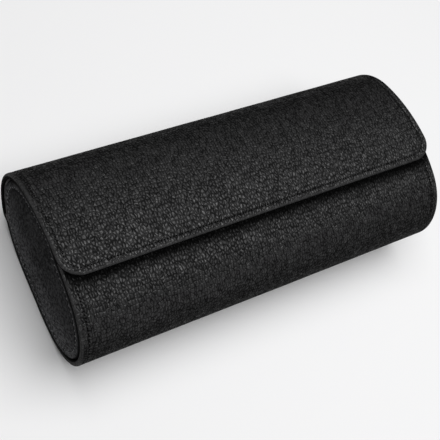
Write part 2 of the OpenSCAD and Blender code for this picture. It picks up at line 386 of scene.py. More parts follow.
PEBBLE = (0.00135, 0.0022, 1.0)
PEBBLE_DEPTH = 0.0004
PORE = (0.0003, 0.0004, 0.0004)


def pebbled(name, shade, sheen_rough):
    """Pebbled leather: round domes, longer round the tube than along it, with creases between."""
    material, shader, place = new_finish(name, Specular_IOR_Level=0.53)
    flat = place.node("ShaderNodeAttribute", {"attribute_name": "flat"}, {}, "Vector")
    cells = flat.scaled(PEBBLE)
    sockets = {"Vector": cells, "Scale": 0.5, "Detail": 1.0}
    wander = place.node("ShaderNodeTexNoise", {}, sockets, "Color")
    drift = place.node("ShaderNodeVectorMath", {"operation": "SCALE"}, {0: wander, "Scale": 0.9})
    strayed = place.node("ShaderNodeVectorMath", {"operation": "ADD"}, {0: cells, 1: drift})
    settings = {"feature": "DISTANCE_TO_EDGE", "voronoi_dimensions": "2D"}
    sockets = {"Vector": strayed, "Scale": 1.0, "Randomness": 0.85}
    crease = place.node("ShaderNodeTexVoronoi", settings, sockets, "Distance")
    settings = {"feature": "F1", "voronoi_dimensions": "2D"}
    lot = place.node("ShaderNodeTexVoronoi", settings, sockets, "Color")
    luck = place.node("ShaderNodeSeparateColor", {}, {"Color": lot}, "Red")
    smooth = place.node("ShaderNodeAttribute", {"attribute_name": "grain"}, {}, "Fac")
    painted_shade = place.node("ShaderNodeAttribute", {"attribute_name": "painted_shade"}, {}, "Fac")
    sockets = {"Vector": strayed, "Scale": 0.9, "Detail": 2.0}
    swell = place.node("ShaderNodeTexNoise", {}, sockets, "Fac")
    dome = crease.ease(0.0, 0.32) * 0.6 + swell.ease(0.34, 0.64) * 0.4
    cloud = place.speckle((0.028, 0.036, 0.036), 3.0)
    pore = place.speckle(PORE, 3.0)
    depth_of_dye = luck * 0.6 + cloud * 0.4
    feed(
        shader,
        Base_Color=depth_of_dye.ease(0.1, 0.8).tint([level * 0.4 for level in shade], shade),
        Roughness=sheen_rough + (1 - dome) * smooth * 0.2 + luck * 0.12 - cloud * 0.06,
        Normal=(dome * smooth + pore * 0.15).relief(PEBBLE_DEPTH),
    )
    # Painted shade: the leather is mixed toward a near-black matte finish in the creases between the
    # pebbles, where the mesh's shade attribute asks for it (seam furrows, the strip by the flap's edge,
    # turned edges), and where it turns away from the view.
    sockets = {"Base Color": (0.0012, 0.0012, 0.0012, 1), "Roughness": 0.9, "Specular IOR Level": 0.0}
    shade_bsdf = place.node("ShaderNodeBsdfPrincipled", {}, sockets, "BSDF")
    facing = place.node("ShaderNodeLayerWeight", {}, {"Blend": 0.5}, "Facing")
    grazing_shade_keep = 1 - facing.ease(0.15, 0.6) * 0.7
    crease_shade = (1 - dome * (1 - luck * 0.45)) * smooth
    unshaded_share = (1 - crease_shade * 0.92) * (1 - painted_shade) * grazing_shade_keep
    lay_over(unshaded_share, shade_bsdf, Field(place.tree, shader.outputs["BSDF"]))
    return material


black_leather = pebbled("black_pebbled_leather", (0.018, 0.018, 0.0188), 0.28)

RIM_SEAM = 3.6
RIM_ROLL = 0.8
SEAM_DEPTH = 0.27
SEAM_WIDTH = 0.62
# Painted shade in the seams' furrows: how dark, and its width.
SEAM_SHADE = 0.08
SEAM_SHADE_W = 0.4
GIVE = 0.09
# The line at which the board stops below the hinge, and the length of hide from the mouth to it.
HINGE_TURN = math.pi / 2 + HINGE_DROP
FOLD_TURN = HINGE_TURN + math.asin(HINGE_W / END_R)
FOLD_S = FRONT_END + END_R * (FOLD_TURN - FRONT_TURN)
MOUTH_S = -FRONT_R * math.asin(MOUTH_EDGE / FRONT_R)
TUBE_LEN = 2 * HALF_GIRTH + MOUTH_S - FOLD_S


def on_tube(x, v, depth):
    """The tube's hide runs from the mouth's edge over the near end and under the case."""
    return (x, *on_oval(MOUTH_S - v, depth))


def furrow(from_seam, width=SEAM_WIDTH):
    """The share of a seam's effect that is left at that distance from it."""
    return math.exp(-(from_seam / width) ** 2)


def give(x, v, hide):
    """The slow rise and fall of soft leather, another for each hide."""
    return GIVE * noise.noise(Vector((x * 0.045, v * 0.06, hide)))


def stitched_rim(x, v, inset):
    """Depth of the outside: a furrow pulled down by the stitches, and the leather's give."""
    pulled = SEAM_DEPTH * furrow(CASE_HALF - abs(x) - RIM_SEAM)
    return pulled + give(x, v, 3.1) * min(1, max(0, inset - 2) / 6)


# The closed flap's edge and its round corners come down here on the tube's hide.
FLAP_EDGE_V = 10.8
FLAP_CORNER = 10.5
FLAP_HALF = CASE_HALF + 0.9
# A painted shadow strip there starts under the flap and fades out beyond its edge.
SHADOW_STRIP_DARK = 0.92
STRIP_START, STRIP_RISE = 5, 3
STRIP_END, STRIP_FADE = 7.6, 5.6


def painted_shade_tube(x, v, inset):
    """How much painted shade the tube takes: a painted shadow under and just past the flap's edge, and
    painted shade in the seam's furrow.
    """
    out, past = abs(x) - FLAP_HALF + FLAP_CORNER, v - FLAP_EDGE_V + FLAP_CORNER
    beyond = math.hypot(out, past) - FLAP_CORNER if out > 0 and past > 0 else v - FLAP_EDGE_V
    fading = min(1, max(0, (STRIP_END - beyond) / STRIP_FADE)) ** 1.3
    rising = min(1, max(0, (beyond + STRIP_START) / STRIP_RISE))
    in_seam = furrow(CASE_HALF - abs(x) - RIM_SEAM, SEAM_SHADE_W)
    return max(SHADOW_STRIP_DARK * (fading * rising), SEAM_SHADE * in_seam)


RIM_STOPS = (0, 0.4, 0.8, 1.15, 1.45, 1.75, 2.1, 2.45, 2.8, 3.2, 3.8, 4.6, 6.0, 8.0)
tube_hide = Hide(CASE_HALF, TUBE_LEN, 3.0, RIM_ROLL, on_tube)
rim_section = both_ways(rolled(RIM_ROLL, 0, 0) + [(0.0, WALL_T - 1.1)])
# The rim's inner corner, beside the pad, takes painted shade.
rim_section += both_ways([(0.12, WALL_T - 0.62), (0.45, WALL_T - 0.25), (1.0, WALL_T)], 0.8)
rim_section.append((TURN_IN, LEATHER_T, WALL_T, 0.0))
rim_section.append((TURN_IN, LEATHER_T + 0.1, WALL_T - LINING_T + 0.05, 0.0))
rim_section += both_ways([(RIM_ROLL, WALL_T - LINING_T + 0.05), (RIM_ROLL, LEATHER_T + 0.3)])
tube_leather = tube_hide.build(
    "tube_leather", RIM_STOPS, 2.0, stitched_rim, painted_shade_tube, rim_section, LEATHER_T, [black_leather]
)
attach(tube_leather, "case")
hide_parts("case_leather")


# ---- Rim stitching ----
# Black bonded polyester thread in a lockstitch that holds the turned leather down, 3 mm to a stitch.
# Each stitch dives into its hole at both ends and lies a little aslant in the furrow that it pulls.

FUZZ = (0.0002, 0.0002, 0.0002)


def spun(name, dark, light):
    """Bonded thread, with its plies twisted round each other."""
    material, shader, place = new_finish(name, Specular_IOR_Level=0.25)
    settings = {"wave_type": "BANDS", "bands_direction": "DIAGONAL"}
    sockets = {"Vector": place, "Scale": 2200.0, "Distortion": 1.5}
    ply = place.node("ShaderNodeTexWave", settings, sockets, "Fac")
    fuzz = place.speckle(FUZZ, 2.0)
    feed(
        shader,
        Base_Color=(ply * 0.6 + fuzz * 0.4).tint(dark, light),
        Roughness=fuzz * 0.2 + 0.55,
        Normal=ply.relief(0.00005),
    )
    return material


black_thread = spun("black_thread", (0.004, 0.004, 0.0042), (0.016, 0.016, 0.0167))

STITCH_PITCH = 3.0
STITCH_LONG = 1.6
STITCH_SLANT = 0.5
STITCH_SINK = 0.42
STITCH_RISE = 0.5
STITCH_SPOTS = (0.0, 0.08, 0.22, 0.5, 0.78, 0.92, 1.0)
THREAD_R = 0.3
THREAD_FLAT = 0.85
THREAD_SIDES = 6
HOLE_R = 0.44
HOLE_LONG = 1.15
HOLE_FLOOR, HOLE_BRIM = 0.06, 0.15
HOLE_SIDES = 8

# Painted shade: a near-black disc at each end of a stitch stands for the shade inside its needle hole.
hole_shade, shader, place = new_finish("hole_shade", Specular_IOR_Level=0.05)
hole_noise = place.speckle(FUZZ, 2.0)
feed(
    shader,
    Base_Color=hole_noise.tint((0.0008, 0.0008, 0.0008), (0.0025, 0.0025, 0.0025)),
    Roughness=hole_noise * 0.1 + 0.9,
    Normal=hole_noise.relief(0.00003),
)


def walk(line, distances):
    """Points at those distances along a line of points."""
    found, done, index = [], 0.0, 0
    for distance in distances:
        while index < len(line) - 2 and done + (line[index + 1] - line[index]).length < distance:
            done += (line[index + 1] - line[index]).length
            index += 1
        step = line[index + 1] - line[index]
        found.append(line[index] + step * ((distance - done) / step.length))
    return found


def length_of(line):
    return sum((b - a).length for a, b in zip(line, line[1:]))


def tube_faces(first, rings, sides, closed=False):
    """Faces of a tube whose rings of points start at first."""
    faces = []
    for ring in range(rings if closed else rings - 1):
        here, after = first + ring * sides, first + (ring + 1) % rings * sides
        faces += band(range(here, here + sides), range(after, after + sides), closed=True)
    return faces


def sew(name, seam, above, body, thread):
    """Stitches along a seam of points, and above, which is the same seam a millimetre higher.

    With no body the stitches are left unattached.
    """
    count = int(length_of(seam) / STITCH_PITCH)
    margin = (length_of(seam) - count * STITCH_PITCH + STITCH_PITCH - STITCH_LONG) / 2
    share = length_of(above) / length_of(seam)
    points, faces, kinds = [], [], []
    for stitch in range(count):
        spots = [margin + stitch * STITCH_PITCH + STITCH_LONG * spot for spot in STITCH_SPOTS]
        low = walk(seam, spots)
        high = walk(above, [spot * share for spot in spots])
        ahead = (low[-1] - low[0]).normalized()
        first = len(points)
        for spot, foot, top in zip(STITCH_SPOTS, low, high):
            up = (top - foot).normalized()
            across = up.cross(ahead)
            bow = math.sin(math.pi * spot) ** 0.6
            height = STITCH_RISE * bow - STITCH_SINK
            middle = foot + up * height + across * (STITCH_SLANT * (spot - 0.5))
            for side in range(THREAD_SIDES):
                turn = 2 * math.pi * side / THREAD_SIDES
                ring = across * math.cos(turn) + up * math.sin(turn) * THREAD_FLAT
                points.append(middle + ring * THREAD_R * (0.7 + 0.3 * bow))
        faces += tube_faces(first, len(STITCH_SPOTS), THREAD_SIDES)
        faces.append(tuple(range(first, first + THREAD_SIDES)))
        faces.append(tuple(range(len(points) - THREAD_SIDES, len(points))))
        kinds += [0] * (len(faces) - len(kinds))
        for foot, top in ((low[0], high[0]), (low[-1], high[-1])):
            up = (top - foot).normalized()
            across = up.cross(ahead)
            first = len(points)
            points.append(foot + up * HOLE_FLOOR)
            for side in range(HOLE_SIDES):
                turn = 2 * math.pi * side / HOLE_SIDES
                ring = ahead * math.cos(turn) * HOLE_R * HOLE_LONG + across * math.sin(turn) * HOLE_R
                points.append(foot + up * HOLE_BRIM + ring)
                faces.append((first, first + 1 + side, first + 1 + (side + 1) % HOLE_SIDES))
            kinds += [1] * HOLE_SIDES
    stitches = new_piece(name, points, faces, [thread, hole_shade], crease=80, kinds=kinds)
    if body:
        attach(stitches, body)
    return stitches


def on_seam(hide, seam, depth):
    """A hide's seam, on the bottom of its furrow and a millimetre above it."""
    return [[Vector(hide.put(x, v, level)) for x, v in seam] for level in (depth, depth - 1)]


SIDES = ((-1, "left"), (1, "right"))
for side, name in SIDES:
    rim = [(side * (CASE_HALF - RIM_SEAM), v) for v in steps(2.2, TUBE_LEN - 1.0, 0.4)]
    sew(name + "_rim_stitches", *on_seam(tube_hide, rim, SEAM_DEPTH), "case", black_thread)


# ---- Tube lining ----
# Grey microfibre suede is glued straight to the board between the turned edges of the hide.
# Its short nap lies in soft patches, lighter where a hand has brushed it up.

NAP = (0.0005, 0.0005, 0.0005)
NAP_DEPTH = 0.0005
BRUSHED_PATCH = (0.022, 0.016, 0.016)


def napped(name, dark, light, rough, sheen, fleck, shares, spread):
    """Short-napped suede or nubuck with a faint bloom at the edges.

    shares says how much of the tone the nap, its flecks and its brushed patches make, and the tone
    goes from dark to light over twice the spread.
    """
    material, shader, place = new_finish(
        name, Specular_IOR_Level=0.0, Sheen_Weight=sheen, Sheen_Roughness=0.45, Sheen_Tint=(*light, 1)
    )
    nap = place.speckle(NAP, 4.0)
    clump = place.speckle(fleck, 2.0)
    brushed = place.speckle(BRUSHED_PATCH, 3.0)
    tone = nap * shares[0] + clump * shares[1] + brushed * shares[2]
    # Painted shade from the mesh's shade attribute darkens the base colour.
    painted_shade = place.node("ShaderNodeAttribute", {"attribute_name": "painted_shade"}, {}, "Fac")
    shaded_tone = tone.ease(0.5 - spread, 0.5 + spread) * (1 - painted_shade)
    feed(
        shader,
        Base_Color=shaded_tone.tint([level * 0.5 for level in dark], light),
        Roughness=nap * 0.15 + rough,
        Normal=(nap * 0.6 + clump * 0.4).relief(NAP_DEPTH),
    )
    return material


SUEDE_FLECK = (0.001, 0.0014, 0.0014)
SUEDE_SHARES = (0.35, 0.3, 0.35)
SUEDE_DARK, SUEDE_LIGHT = (0.11, 0.104, 0.107), (0.25, 0.236, 0.242)
suede = napped("grey_suede", SUEDE_DARK, SUEDE_LIGHT, 0.78, 0.25, SUEDE_FLECK, SUEDE_SHARES, 0.14)
dress(suede, "case_lining", "left_end_lining", "right_end_lining")


# ---- End pads ----
# A disc of black nubuck is stretched over thin foam on the end board and turned over the board's edge.
# The foam crowns the middle, and a seam holds the border down, level with the rim.

FLAP_LEATHER_T = 1.0
FLAP_BOARD_T = 1.2
FLAP_LINING_T = 0.5
FLAP_T = FLAP_LEATHER_T + FLAP_BOARD_T + FLAP_LINING_T
FLAP_GAP = 0.4
HINGE_Y = END_C + END_R * math.cos(HINGE_DROP)
HINGE_Z = AXIS_H - END_R * math.sin(HINGE_DROP)
HINGE_S = FRONT_END + END_R * (HINGE_TURN - FRONT_TURN)
EDGE_Y, EDGE_Z = on_oval(MOUTH_S, 0)
EDGE_ARM = math.hypot(HINGE_Y - EDGE_Y, EDGE_Z - HINGE_Z)
CENTRE_ARM = math.hypot(HINGE_Y, HINGE_Z - AXIS_H + FRONT_C)


def corner_angle(radius):
    """Angle at the hinge line between the mouth's edge and the centre of a front arc of that radius."""
    return math.acos((EDGE_ARM ** 2 + CENTRE_ARM ** 2 - radius ** 2) / (2 * EDGE_ARM * CENTRE_ARM))


# The closed flap is the same oval turned up about the hinge line until it clears the mouth's edge.
FLAP_LIFT = corner_angle(FRONT_R) - corner_angle(FRONT_R - FLAP_T - FLAP_GAP)


def lift(y, z, share=1.0):
    """Turns a point up about the hinge line by that share of the flap's lift."""
    cos, sin = math.cos(FLAP_LIFT * share), math.sin(FLAP_LIFT * share)
    back, up = y - HINGE_Y, z - HINGE_Z
    return HINGE_Y + back * cos + up * sin, HINGE_Z - back * sin + up * cos


def ease(value):
    """0 below 0, 1 above 1 and smooth between."""
    value = min(1, max(0, value))
    return value * value * (3 - 2 * value)


# How far back the lift carries what lies under the flap at the mouth's edge.
EDGE_SLIP = lift(*on_oval(MOUTH_S, FLAP_T + FLAP_GAP))[0] - EDGE_Y
LOOP = 128
DISC_RINGS = LOOP // 8


def pad_outline(index, inset):
    """The pad's edge: against the tube's wall, and under the flap up to the flap's lining.

    Turned over the board, its inset is below zero, and it steps up sharply at the mouth's edge.
    """
    along = HALF_GIRTH * (2 * index / LOOP - 1)
    if inset < 0 and abs(along - MOUTH_S) < 2 * HALF_GIRTH / LOOP:
        along = MOUTH_S + math.copysign(0.03, along - MOUTH_S)
    wall = on_oval(along, WALL_T + max(0, inset))
    rise, slip = ease((along - MOUTH_S - 0.4) / 3), 0
    if inset < 0:
        rise, slip = float(along > MOUTH_S), EDGE_SLIP * (HINGE_S - along) / (HINGE_S - MOUTH_S)
    under_flap = lift(*on_oval(along - slip, FLAP_T + FLAP_GAP + inset))
    share = rise * ease((HINGE_S - along) / 4)
    return [a + (b - a) * share for a, b in zip(wall, under_flap)]


def disc(outline, inset, middle, x, crown=0.0):
    """Points and faces of a face of quads inside an outline, with its rim points first to last."""
    rim = [outline(index, inset) for index in range(LOOP)]
    points, rim_at = [], [0] * LOOP
    span = range(-DISC_RINGS, DISC_RINGS + 1)
    for i in span:
        for j in span:
            ring = max(abs(i), abs(j))
            if i == ring:
                place = j + ring
            elif j == ring:
                place = 3 * ring - i
            elif i == -ring:
                place = 5 * ring - j
            else:
                place = 7 * ring + i
            if ring == DISC_RINGS:
                rim_at[place % LOOP] = len(points)
            share = place / max(1, ring) * DISC_RINGS % LOOP
            low, part = int(share), share % 1
            near, far = rim[low], rim[(low + 1) % LOOP]
            out = ring / DISC_RINGS
            edge = [a + (b - a) * part for a, b in zip(near, far)]
            points.append((x + crown * (1 - out ** 3), *[c + (e - c) * out for c, e in zip(middle, edge)]))
    return points, grid_faces(0, len(span), len(span)), rim_at


# Painted shade on a pad, darker towards the top under the flap: its face from this height up, over this
# rise, and its edge likewise.
FACE_SHADE_FROM, FACE_SHADE_RISE = 8, 34
EDGE_SHADE_FROM, EDGE_SHADE_RISE = 20, 26
EDGE_SHADE_LEAST = 0.35


def slab(name, outline, section, middle, side, materials, crease=35, crown=0.0, shade_share=None):
    """A closed pad or board: a front disc, rings round its edge, and a back disc.

    section lists inset and x from the front disc's rim to the back disc's rim, and the shade list how much
    painted shade each of those rings takes under the flap; it is less so lower down, unless it is 1.
    """
    points, faces, loop = disc(outline, section[0][0], middle, side * section[0][1], side * crown)
    face_shade = shade_share[0] if shade_share else 0.0
    painted_shade = [face_shade * ease((z - FACE_SHADE_FROM) / FACE_SHADE_RISE) for _, _, z in points]
    heights = [outline(index, 0)[1] for index in range(LOOP)]
    under_flap = [ease((z - EDGE_SHADE_FROM) / EDGE_SHADE_RISE) for z in heights]
    level = [EDGE_SHADE_LEAST + (1 - EDGE_SHADE_LEAST) * share for share in under_flap]
    for number, (inset, x) in enumerate(section[1:-1], 1):
        dark = shade_share[number] if shade_share else 0.0
        painted_shade += [dark if dark == 1 else dark * share for share in level]
        ring = list(range(len(points), len(points) + LOOP))
        points += [(side * x, *outline(index, inset)) for index in range(LOOP)]
        faces += band(loop, ring, closed=True)
        loop = ring
    back, back_faces, back_rim = disc(outline, section[-1][0], middle, side * section[-1][1])
    ring = [len(points) + at for at in back_rim]
    faces += band(loop, ring, closed=True)
    faces += [[len(points) + at for at in face] for face in back_faces]
    points += back
    painted_shade += [0.0] * len(back)
    return new_piece(name, points, faces, materials, crease=crease, painted_shade=painted_shade)


def inflate(piece, held, pressure, cap, frames=20):
    """Blows the piece up as cloth with its held points fixed, moving no point further than cap metres."""
    if held:
        piece.vertex_groups.new(name="held").add(held, 1, "REPLACE")
    cloth = piece.modifiers.new("blown_up", "CLOTH")
    if held:
        cloth.settings.vertex_group_mass = "held"
    cloth.settings.use_pressure = True
    cloth.settings.uniform_pressure_force = pressure
    cloth.settings.effector_weights.gravity = 0
    cloth.point_cache.frame_end = frames
    scene = bpy.context.scene
    for number in range(1, frames + 1):
        scene.frame_set(number)
    posed = piece.evaluated_get(bpy.context.evaluated_depsgraph_get())
    moved = [vertex.co.copy() for vertex in posed.data.vertices]
    piece.modifiers.remove(cloth)
    for vertex, co in zip(piece.data.vertices, moved):
        shift = co - vertex.co
        vertex.co += shift * min(1, cap / max(shift.length, cap * 0.001))
    scene.frame_set(1)
    piece.vertex_groups.clear()


def apply_modifiers(piece):
    """Makes the piece's own mesh what its modifiers show."""
    shown = piece.evaluated_get(bpy.context.evaluated_depsgraph_get())
    piece.data = bpy.data.meshes.new_from_object(shown)
    piece.modifiers.clear()


def subdivide(piece):
    """Adds one level of smooth subdivision to the mesh itself."""
    piece.modifiers.new("smooth", "SUBSURF").levels = 1
    apply_modifiers(piece)


NUBUCK_FLECK = (0.0012, 0.0013, 0.0016)
NUBUCK_DARK, NUBUCK_LIGHT = (0.02, 0.02, 0.0207), (0.14, 0.14, 0.1445)
NUBUCK_SHARES = (0.35, 0.5, 0.15)
nubuck = napped("black_nubuck", NUBUCK_DARK, NUBUCK_LIGHT, 0.72, 0.02, NUBUCK_FLECK, NUBUCK_SHARES, 0.12)

charcoal_thread = spun("charcoal_thread", (0.07, 0.07, 0.072), (0.3, 0.3, 0.309))

PAD_FACE = 99.5
PAD_SEAM, PAD_SEAM_OUT = 3.6, 0.3
PAD_CROWN = 1.5
# Inset and height over PAD_FACE, from the face over the sewn border and round the board's edge,
# and how much painted shade the face and each point after it take: most in the slot beside the rim.
PAD_SECTION = (
    (6.6, 0.14), (5.7, 0.06), (4.8, 0.12), (4.1, 0.32), (3.6, 0.38), (3.1, 0.55), (2.5, 0.68),
    (1.8, 0.7), (1.1, 0.58), (0.65, 0.36), (0.4, 0.0), (0.3, -0.5), (0.2, -1.5), (0.05, -4.9),
    (-0.12, -4.92), (-0.14, -6.9), (-0.02, -7.02), (-0.02, -4.95),
)
PAD_SHADE = (0.72, 0.9, 0.95, 0.75, 0.5, 0.45, 0.45, 0.55, 0.9, 1.0, 1.0, 1.0, 1.0, 1.0, 0.9, 0.9, 0.9, 0.9)
PAD_MIDDLE = (0.0, AXIS_H)
# The middle of the face swells, as far out as this; the seam holds its border.
SOFT_HALF_Y, SOFT_HALF_Z = 36, 22
PAD_PRESSURE = 30.0
PAD_SWELL_CAP = 1.2


def is_soft(x, y, z):
    """Whether a point of a pad's mesh, in metres, is on the middle of its face."""
    on_face = abs(x) > (PAD_FACE + PAD_SECTION[0][1] + 0.02) * MM
    return on_face and abs(y) < SOFT_HALF_Y * MM and abs(z - AXIS_H * MM) < SOFT_HALF_Z * MM


for side, name in SIDES:
    section = [(inset, PAD_FACE + out) for inset, out in PAD_SECTION]
    pad = slab(
        name + "_end_pad", pad_outline, section, PAD_MIDDLE, side, [nubuck],
        crown=PAD_CROWN, shade_share=PAD_SHADE,
    )
    held = [vertex.index for vertex in pad.data.vertices if not is_soft(*vertex.co)]
    inflate(pad, held, PAD_PRESSURE, PAD_SWELL_CAP * MM)
    subdivide(pad)
    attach(pad, "case")
    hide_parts(name + "_end_cover", name + "_end_foam")
    ring = [pad_outline(index / 4, PAD_SEAM) for index in range(LOOP * 4 + 1)]
    bed = PAD_FACE + PAD_SEAM_OUT
    seams = [[Vector((side * x, y, z)) for y, z in ring] for x in (bed, bed + 1)]
    sew(name + "_end_stitches", *seams, "case", charcoal_thread)


# ---- Dividers ----
# Two greyboard walls part the tube into three rooms. Suede is folded over each free edge and glued.
# The free edge stands well below the flap, and its fold is round.

DIVIDER_T = 3.0
DIVIDER_DROP = 9.0
# Each end takes this much of the length, with its pad, board and lining.
END_DEPTH = 8.1
ROOM_PITCH = round((2 * (CASE_HALF - END_DEPTH) + DIVIDER_T) / 3, 3)


def divider_outline(index, inset):
    """The divider's edge: against the tube's wall, and well below the mouth."""
    along = HALF_GIRTH * (2 * index / LOOP - 1)
    share = ease((along - MOUTH_S + 1) / 5) * ease((HINGE_S - along + 1) / 5)
    return on_oval(along, WALL_T + (DIVIDER_DROP - WALL_T) * share + inset)


for side, name in SIDES:
    half = DIVIDER_T / 2
    turns = [math.radians(angle) for angle in range(0, 181, 30)]
    section = [(half * (1 - math.sin(t)), ROOM_PITCH / 2 + half * math.cos(t)) for t in turns]
    divider = slab(name + "_divider", divider_outline, section, PAD_MIDDLE, side, [suede])
    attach(divider, "case")
    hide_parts(name + "_divider_cover")


# ---- Fold ----
# Below the hinge line the board stops, and the hide and the lining alone bend as a living hinge.
# The strip is glued face to face, and its sewn edges run on from the rims to the flap.

FLAP_REACH = 21.02
FLAP_BUTT = HINGE_S - 0.3
FLAP_SEAM = 3.3
FLAP_ROLL = 1.1
FOLD_LEN = FOLD_S - FLAP_BUTT
FOLD_T = LEATHER_T + LINING_T
# The underside steps in from the tube's thickness, and out to the flap's before the fold ends.
STEP_IN = 1.6
STEP_OUT = 1.8
STEP_OUT_FROM = 2.2


def on_fold(x, v, depth):
    """The fold runs from the tube's butt to the flap, and widens and lifts into it."""
    share = ease(v / FOLD_LEN)
    wide = x * (1 + (FLAP_HALF / CASE_HALF - 1) * share)
    return (wide, *lift(*on_oval(FOLD_S - v, depth), share))


def fold_seam(share):
    """The seam's inset, that share of the way from the tube to the flap."""
    return RIM_SEAM + (FLAP_SEAM - RIM_SEAM) * share


points, flat = [], []
fold_rows = steps(0, FOLD_LEN, 0.5)
columns = [-CASE_HALF + RIM_ROLL + stop for stop in RIM_STOPS]
columns += steps(columns[-1], -columns[-1], 4.0)[1:-1] + [-column for column in reversed(columns)]
for v in fold_rows:
    share = ease(v / FOLD_LEN)
    roll = RIM_ROLL + (FLAP_ROLL - RIM_ROLL) * share
    step_in = ease(v / STEP_IN) * (WALL_T - FOLD_T)
    step_out = ease((v - FOLD_LEN + STEP_OUT_FROM) / STEP_OUT) * (FLAP_T - FOLD_T)
    under = WALL_T - (step_in - step_out)
    edge = rolled(roll, 0, 0) + [(0.0, under - 0.5), (0.15, under - 0.12), (0.5, under)]
    stretch = (CASE_HALF - roll) / (CASE_HALF - RIM_ROLL)
    across = [x * stretch for x in columns]
    ring = [(x, SEAM_DEPTH * furrow(CASE_HALF - abs(x) - fold_seam(share))) for x in across]
    ring += [(CASE_HALF - inset, depth) for inset, depth in edge]
    ring += [(x, under) for x in steps(CASE_HALF - 3, 3 - CASE_HALF, 6)]
    ring += [(inset - CASE_HALF, depth) for inset, depth in reversed(edge)]
    points += [on_fold(x, v, depth) for x, depth in ring]
    flat += [(x, v - FOLD_LEN) for x, depth in ring]
    around = len(ring)
lining_from = len(columns) + len(edge) - 1
lining_to = around - len(edge)
faces = tube_faces(0, len(fold_rows), around)
kinds = [int(lining_from <= index < lining_to) for index in range(around)] * (len(fold_rows) - 1)
faces += [tuple(range(around)), tuple(range(len(points) - around, len(points)))]
kinds += [0, 0]
fold = new_piece(
    "fold_leather", points, faces, [black_leather, suede], flat=flat, grain=[1.0] * len(points), kinds=kinds
)
fold_start = Vector(on_fold(0, 0.4, 0)) * MM
fold_end = Vector(on_fold(0, FOLD_LEN - 0.3, 0)) * MM
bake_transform(fold)
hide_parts("hinge_leather")

for side, name in SIDES:
    seams = [[], []]
    for v in steps(0, FOLD_LEN, 0.3):
        from_rim = fold_seam(ease(v / FOLD_LEN))
        for line, level in zip(seams, (SEAM_DEPTH, SEAM_DEPTH - 1)):
            line.append(Vector(on_fold(side * (CASE_HALF - from_rim), v, level)))
    caught = sew(name + "_fold_stitches", *seams, None, black_thread)
    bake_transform(caught)


# ---- Flap leather ----
# The flap's own board is wrapped in the same hide, which is turned under all round and lies flush
# with the lining. The pebbles are pressed flatter on its rolled edge, which shows two layers.

def on_flap(x, v, depth):
    """The flap's hide runs from its front edge up over the tube to the hinge line."""
    return (x, *lift(*on_oval(FLAP_FRONT + v, depth)))


def stitched_flap(x, v, inset):
    """Depth of the outside: the furrow under the stitches, and the leather's give inside the seam."""
    return SEAM_DEPTH * furrow(inset - FLAP_SEAM) + give(x, v, 7.7) * min(1, max(0, inset - 4) / 8)


FLAP_FRONT = -FRONT_R * math.asin(FLAP_REACH / FRONT_R)
FLAP_LEN = FLAP_BUTT - FLAP_FRONT


def painted_shade_flap(x, v, inset):
    """How much painted shade the flap takes: only in the seam's furrow."""
    return SEAM_SHADE * furrow(inset - FLAP_SEAM, SEAM_SHADE_W)


FLAP_STOPS = (0, 0.45, 0.9, 1.25, 1.55, 1.85, 2.2, 2.55, 2.9, 3.3, 3.9, 4.8, 6.2, 8.0)
flap_hide = Hide(FLAP_HALF, FLAP_LEN, FLAP_CORNER, FLAP_ROLL, on_flap)
flap_section = both_ways(rolled(FLAP_ROLL, 0, 0))
# Below the rolled edge, the flap's side and the corner under it take painted shade, darkest at the step
# between the two layers.
flap_section += both_ways([(0.02, 1.3)], 0.6) + both_ways([(0.2, 1.45), (0.2, 1.58)], 0.97)
flap_section += both_ways([(0.04, 1.75), (0.06, 2.2)], 0.8) + both_ways([(0.3, 2.55), (0.8, FLAP_T)], 0.9)
flap_section += both_ways([(1.05, FLAP_T), (1.1, FLAP_T - 0.45)])
flap_leather = flap_hide.build(
    "flap_cover", FLAP_STOPS, 3.0, stitched_flap, painted_shade_flap, flap_section, FLAP_LEATHER_T, [black_leather]
)
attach(flap_leather, "flap")
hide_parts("flap_leather")

flap_seam = flap_hide.seam(FLAP_SEAM, 0.8)
sew("flap_stitches", *on_seam(flap_hide, flap_seam, SEAM_DEPTH), "flap", black_thread)


# ---- Flap lining ----
# The same grey suede lines the flap from its turned edge to the fold.
# It is glued to the flap's board and caught by the flap's seam, which draws a furrow in it.

LINING_INSET = 1.0
LINING_ROLL = 0.3
LINING_FURROW = 0.2


def on_lining(x, v, depth):
    """The lining starts a little behind the flap's front edge."""
    return on_flap(x, v + LINING_INSET, depth)


def caught_lining(x, v, inset):
    """Depth of the lining's face, with the furrow that the flap's seam draws in it."""
    return FLAP_T + 0.03 - LINING_FURROW * furrow(inset + LINING_INSET - FLAP_SEAM)


def unshaded(x, v, inset):
    """The lining takes no painted shade."""
    return 0.0


lining_hide = Hide(
    FLAP_HALF - LINING_INSET, FLAP_LEN - LINING_INSET, FLAP_CORNER - LINING_INSET, LINING_ROLL, on_lining
)
lining_section = both_ways([(0.1, FLAP_T - 0.03), (0.02, FLAP_T - 0.15)])
lining_back = FLAP_T - FLAP_LINING_T
flap_suede = lining_hide.build(
    "flap_suede", FLAP_STOPS, 4.0, caught_lining, unshaded, lining_section, lining_back, [suede]
)
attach(flap_suede, "flap")
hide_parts("flap_lining")


# ---- Magnets and keepers ----
# Two nickel-plated magnets in the flap's board meet two plated steel plates in the front wall's board.
# They lie in pockets cut in the boards, under the leather and the suede, and hold the flap down.

steel, shader, place = new_finish("plated_steel", Metallic=1.0)
grind = place.speckle((0.0001, 0.002, 0.0001), 2.0)
feed(
    shader,
    Base_Color=grind.tint((0.5, 0.5, 0.51), (0.66, 0.66, 0.67)),
    Roughness=grind * 0.2 + 0.25,
    Normal=grind.relief(0.00002),
)
dress(steel, "keeper_plates", "flap_magnets")


# ---- Watch cushions ----
# Each watch is buckled round a removable foam cushion: a suede band wraps the foam and an oval of
# suede closes each side. The seam between them is piped. The foam crowns every face.

